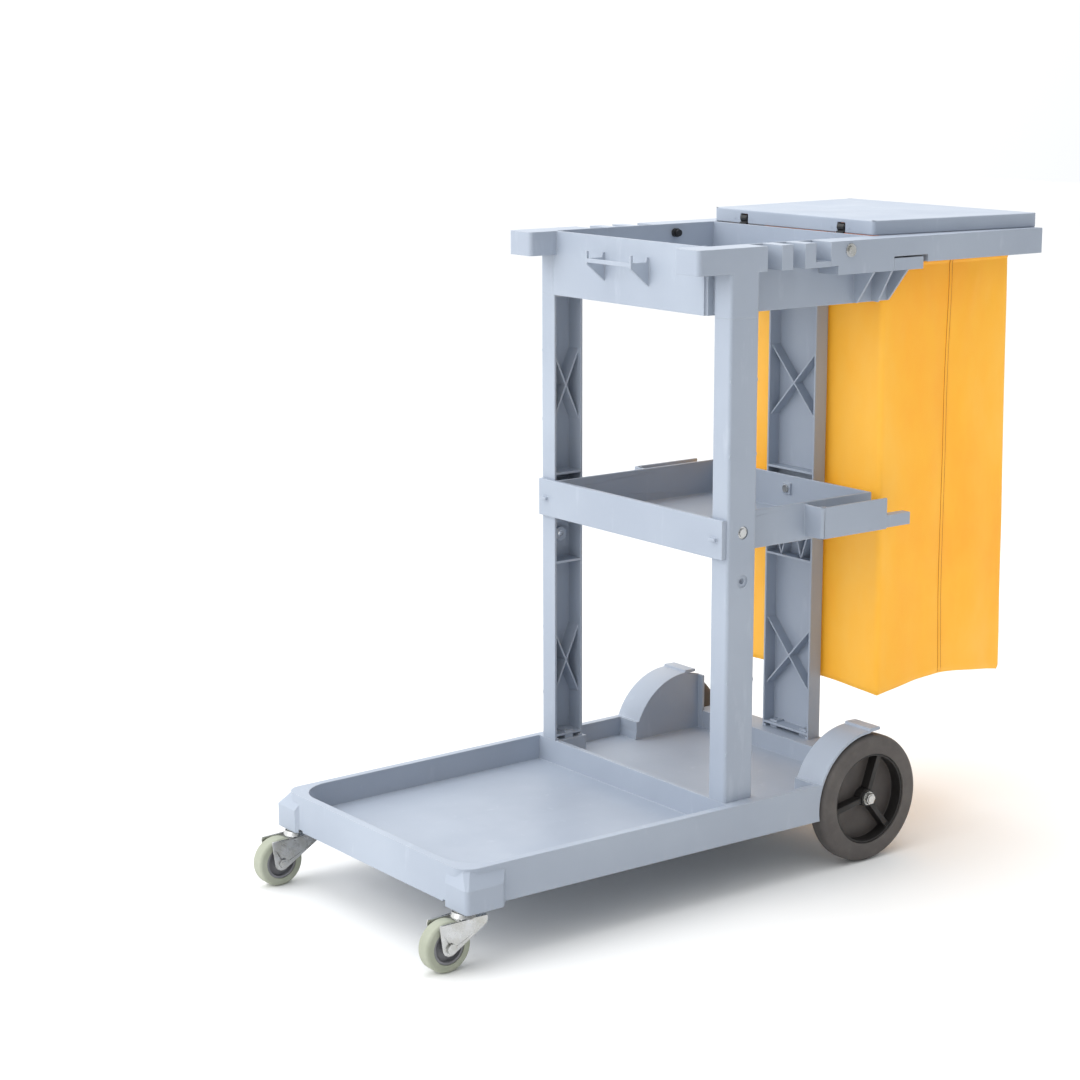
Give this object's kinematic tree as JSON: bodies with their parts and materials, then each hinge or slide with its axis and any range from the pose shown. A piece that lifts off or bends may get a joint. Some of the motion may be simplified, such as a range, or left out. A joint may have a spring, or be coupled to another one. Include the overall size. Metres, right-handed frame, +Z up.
{
  "type": "housekeeping cart",
  "caption": "Wheeled housekeeping cart with a low deck, posts, a middle shelf, a top tray with tool slots, and a lidded frame that holds a rubbish bag",
  "frame": {"origin": "centre of the bounding box on the floor", "axes": "+X from the caster end towards the handle and bag end; +Z up; +Y across the cart, to the left when looking along +X"},
  "size_m": [1.1814, 0.506, 0.9773],
  "materials": {
    "grey_plastic": "finely textured light blue-grey moulded plastic",
    "black_plastic": "smooth black plastic",
    "wheel_plastic": "dark moulded wheel centre",
    "caster_plastic": "grey moulded caster wheel centre",
    "wheel_rubber": "dark grey semi-soft tyre",
    "caster_rubber": "pale grey non-marking tread",
    "zinc_steel": "bright zinc-plated steel",
    "brass": "rolled brass eyelets",
    "yellow_vinyl": "yellow coated vinyl cloth"
  },
  "bodies": {
    "frame": {"base_deck": "grey_plastic", "side_post_left": "grey_plastic", "side_post_right": "grey_plastic", "rear_post": "grey_plastic", "middle_shelf": "grey_plastic", "top_tray": "grey_plastic", "handle_frame": "grey_plastic", "waste_bag": "yellow_vinyl", "bag_grommets": "brass", "lid_hinge_clips": "black_plastic", "rear_axle": "zinc_steel", "axle_washers": "zinc_steel", "axle_nuts": "zinc_steel", "caster_stem_left": "zinc_steel", "caster_stem_right": "zinc_steel", "post_foot_screws": "zinc_steel", "rear_post_screws": "zinc_steel", "shelf_side_screws": "zinc_steel", "shelf_rear_screw": "zinc_steel", "frame_bolts": "zinc_steel", "frame_washers": "zinc_steel", "frame_bolt_caps": "black_plastic"},
    "lid": {"lid": "grey_plastic", "lid_hinge_pins": "zinc_steel"},
    "wheel_left": {"wheel_hub_left": "wheel_plastic", "wheel_tyre_left": "wheel_rubber", "wheel_bush_left": "black_plastic"},
    "wheel_right": {"wheel_hub_right": "wheel_plastic", "wheel_tyre_right": "wheel_rubber", "wheel_bush_right": "black_plastic"},
    "caster_swivel_left": {"caster_fork_left": "zinc_steel", "caster_axle_left": "zinc_steel"},
    "caster_swivel_right": {"caster_fork_right": "zinc_steel", "caster_axle_right": "zinc_steel"},
    "caster_wheel_left": {"caster_hub_left": "caster_plastic", "caster_tyre_left": "caster_rubber"},
    "caster_wheel_right": {"caster_hub_right": "caster_plastic", "caster_tyre_right": "caster_rubber"}
  },
  "joints": [
    {"name": "lid_hinge", "type": "hinge", "parent": "frame", "child": "lid", "pos_m": [0.26575, 0, 0.964], "axis": [0, -1, 0], "range_deg": [0, 105]},
    {"name": "wheel_left_spin", "type": "hinge", "parent": "frame", "child": "wheel_left", "pos_m": [0.21925, -0.2325, 0.1], "axis": [0, 1, 0], "continuous": true},
    {"name": "wheel_right_spin", "type": "hinge", "parent": "frame", "child": "wheel_right", "pos_m": [0.21925, 0.2325, 0.1], "axis": [0, 1, 0], "continuous": true},
    {"name": "caster_left_swivel", "type": "hinge", "parent": "frame", "child": "caster_swivel_left", "pos_m": [-0.52225, -0.22, 0.08], "axis": [0, 0, 1], "continuous": true},
    {"name": "caster_right_swivel", "type": "hinge", "parent": "frame", "child": "caster_swivel_right", "pos_m": [-0.52225, 0.22, 0.08], "axis": [0, 0, 1], "continuous": true},
    {"name": "caster_left_roll", "type": "hinge", "parent": "caster_swivel_left", "child": "caster_wheel_left", "pos_m": [-0.55425, -0.22, 0.0365], "axis": [0, 1, 0], "continuous": true},
    {"name": "caster_right_roll", "type": "hinge", "parent": "caster_swivel_right", "child": "caster_wheel_right", "pos_m": [-0.55425, 0.22, 0.0365], "axis": [0, 1, 0], "continuous": true}
  ]
}
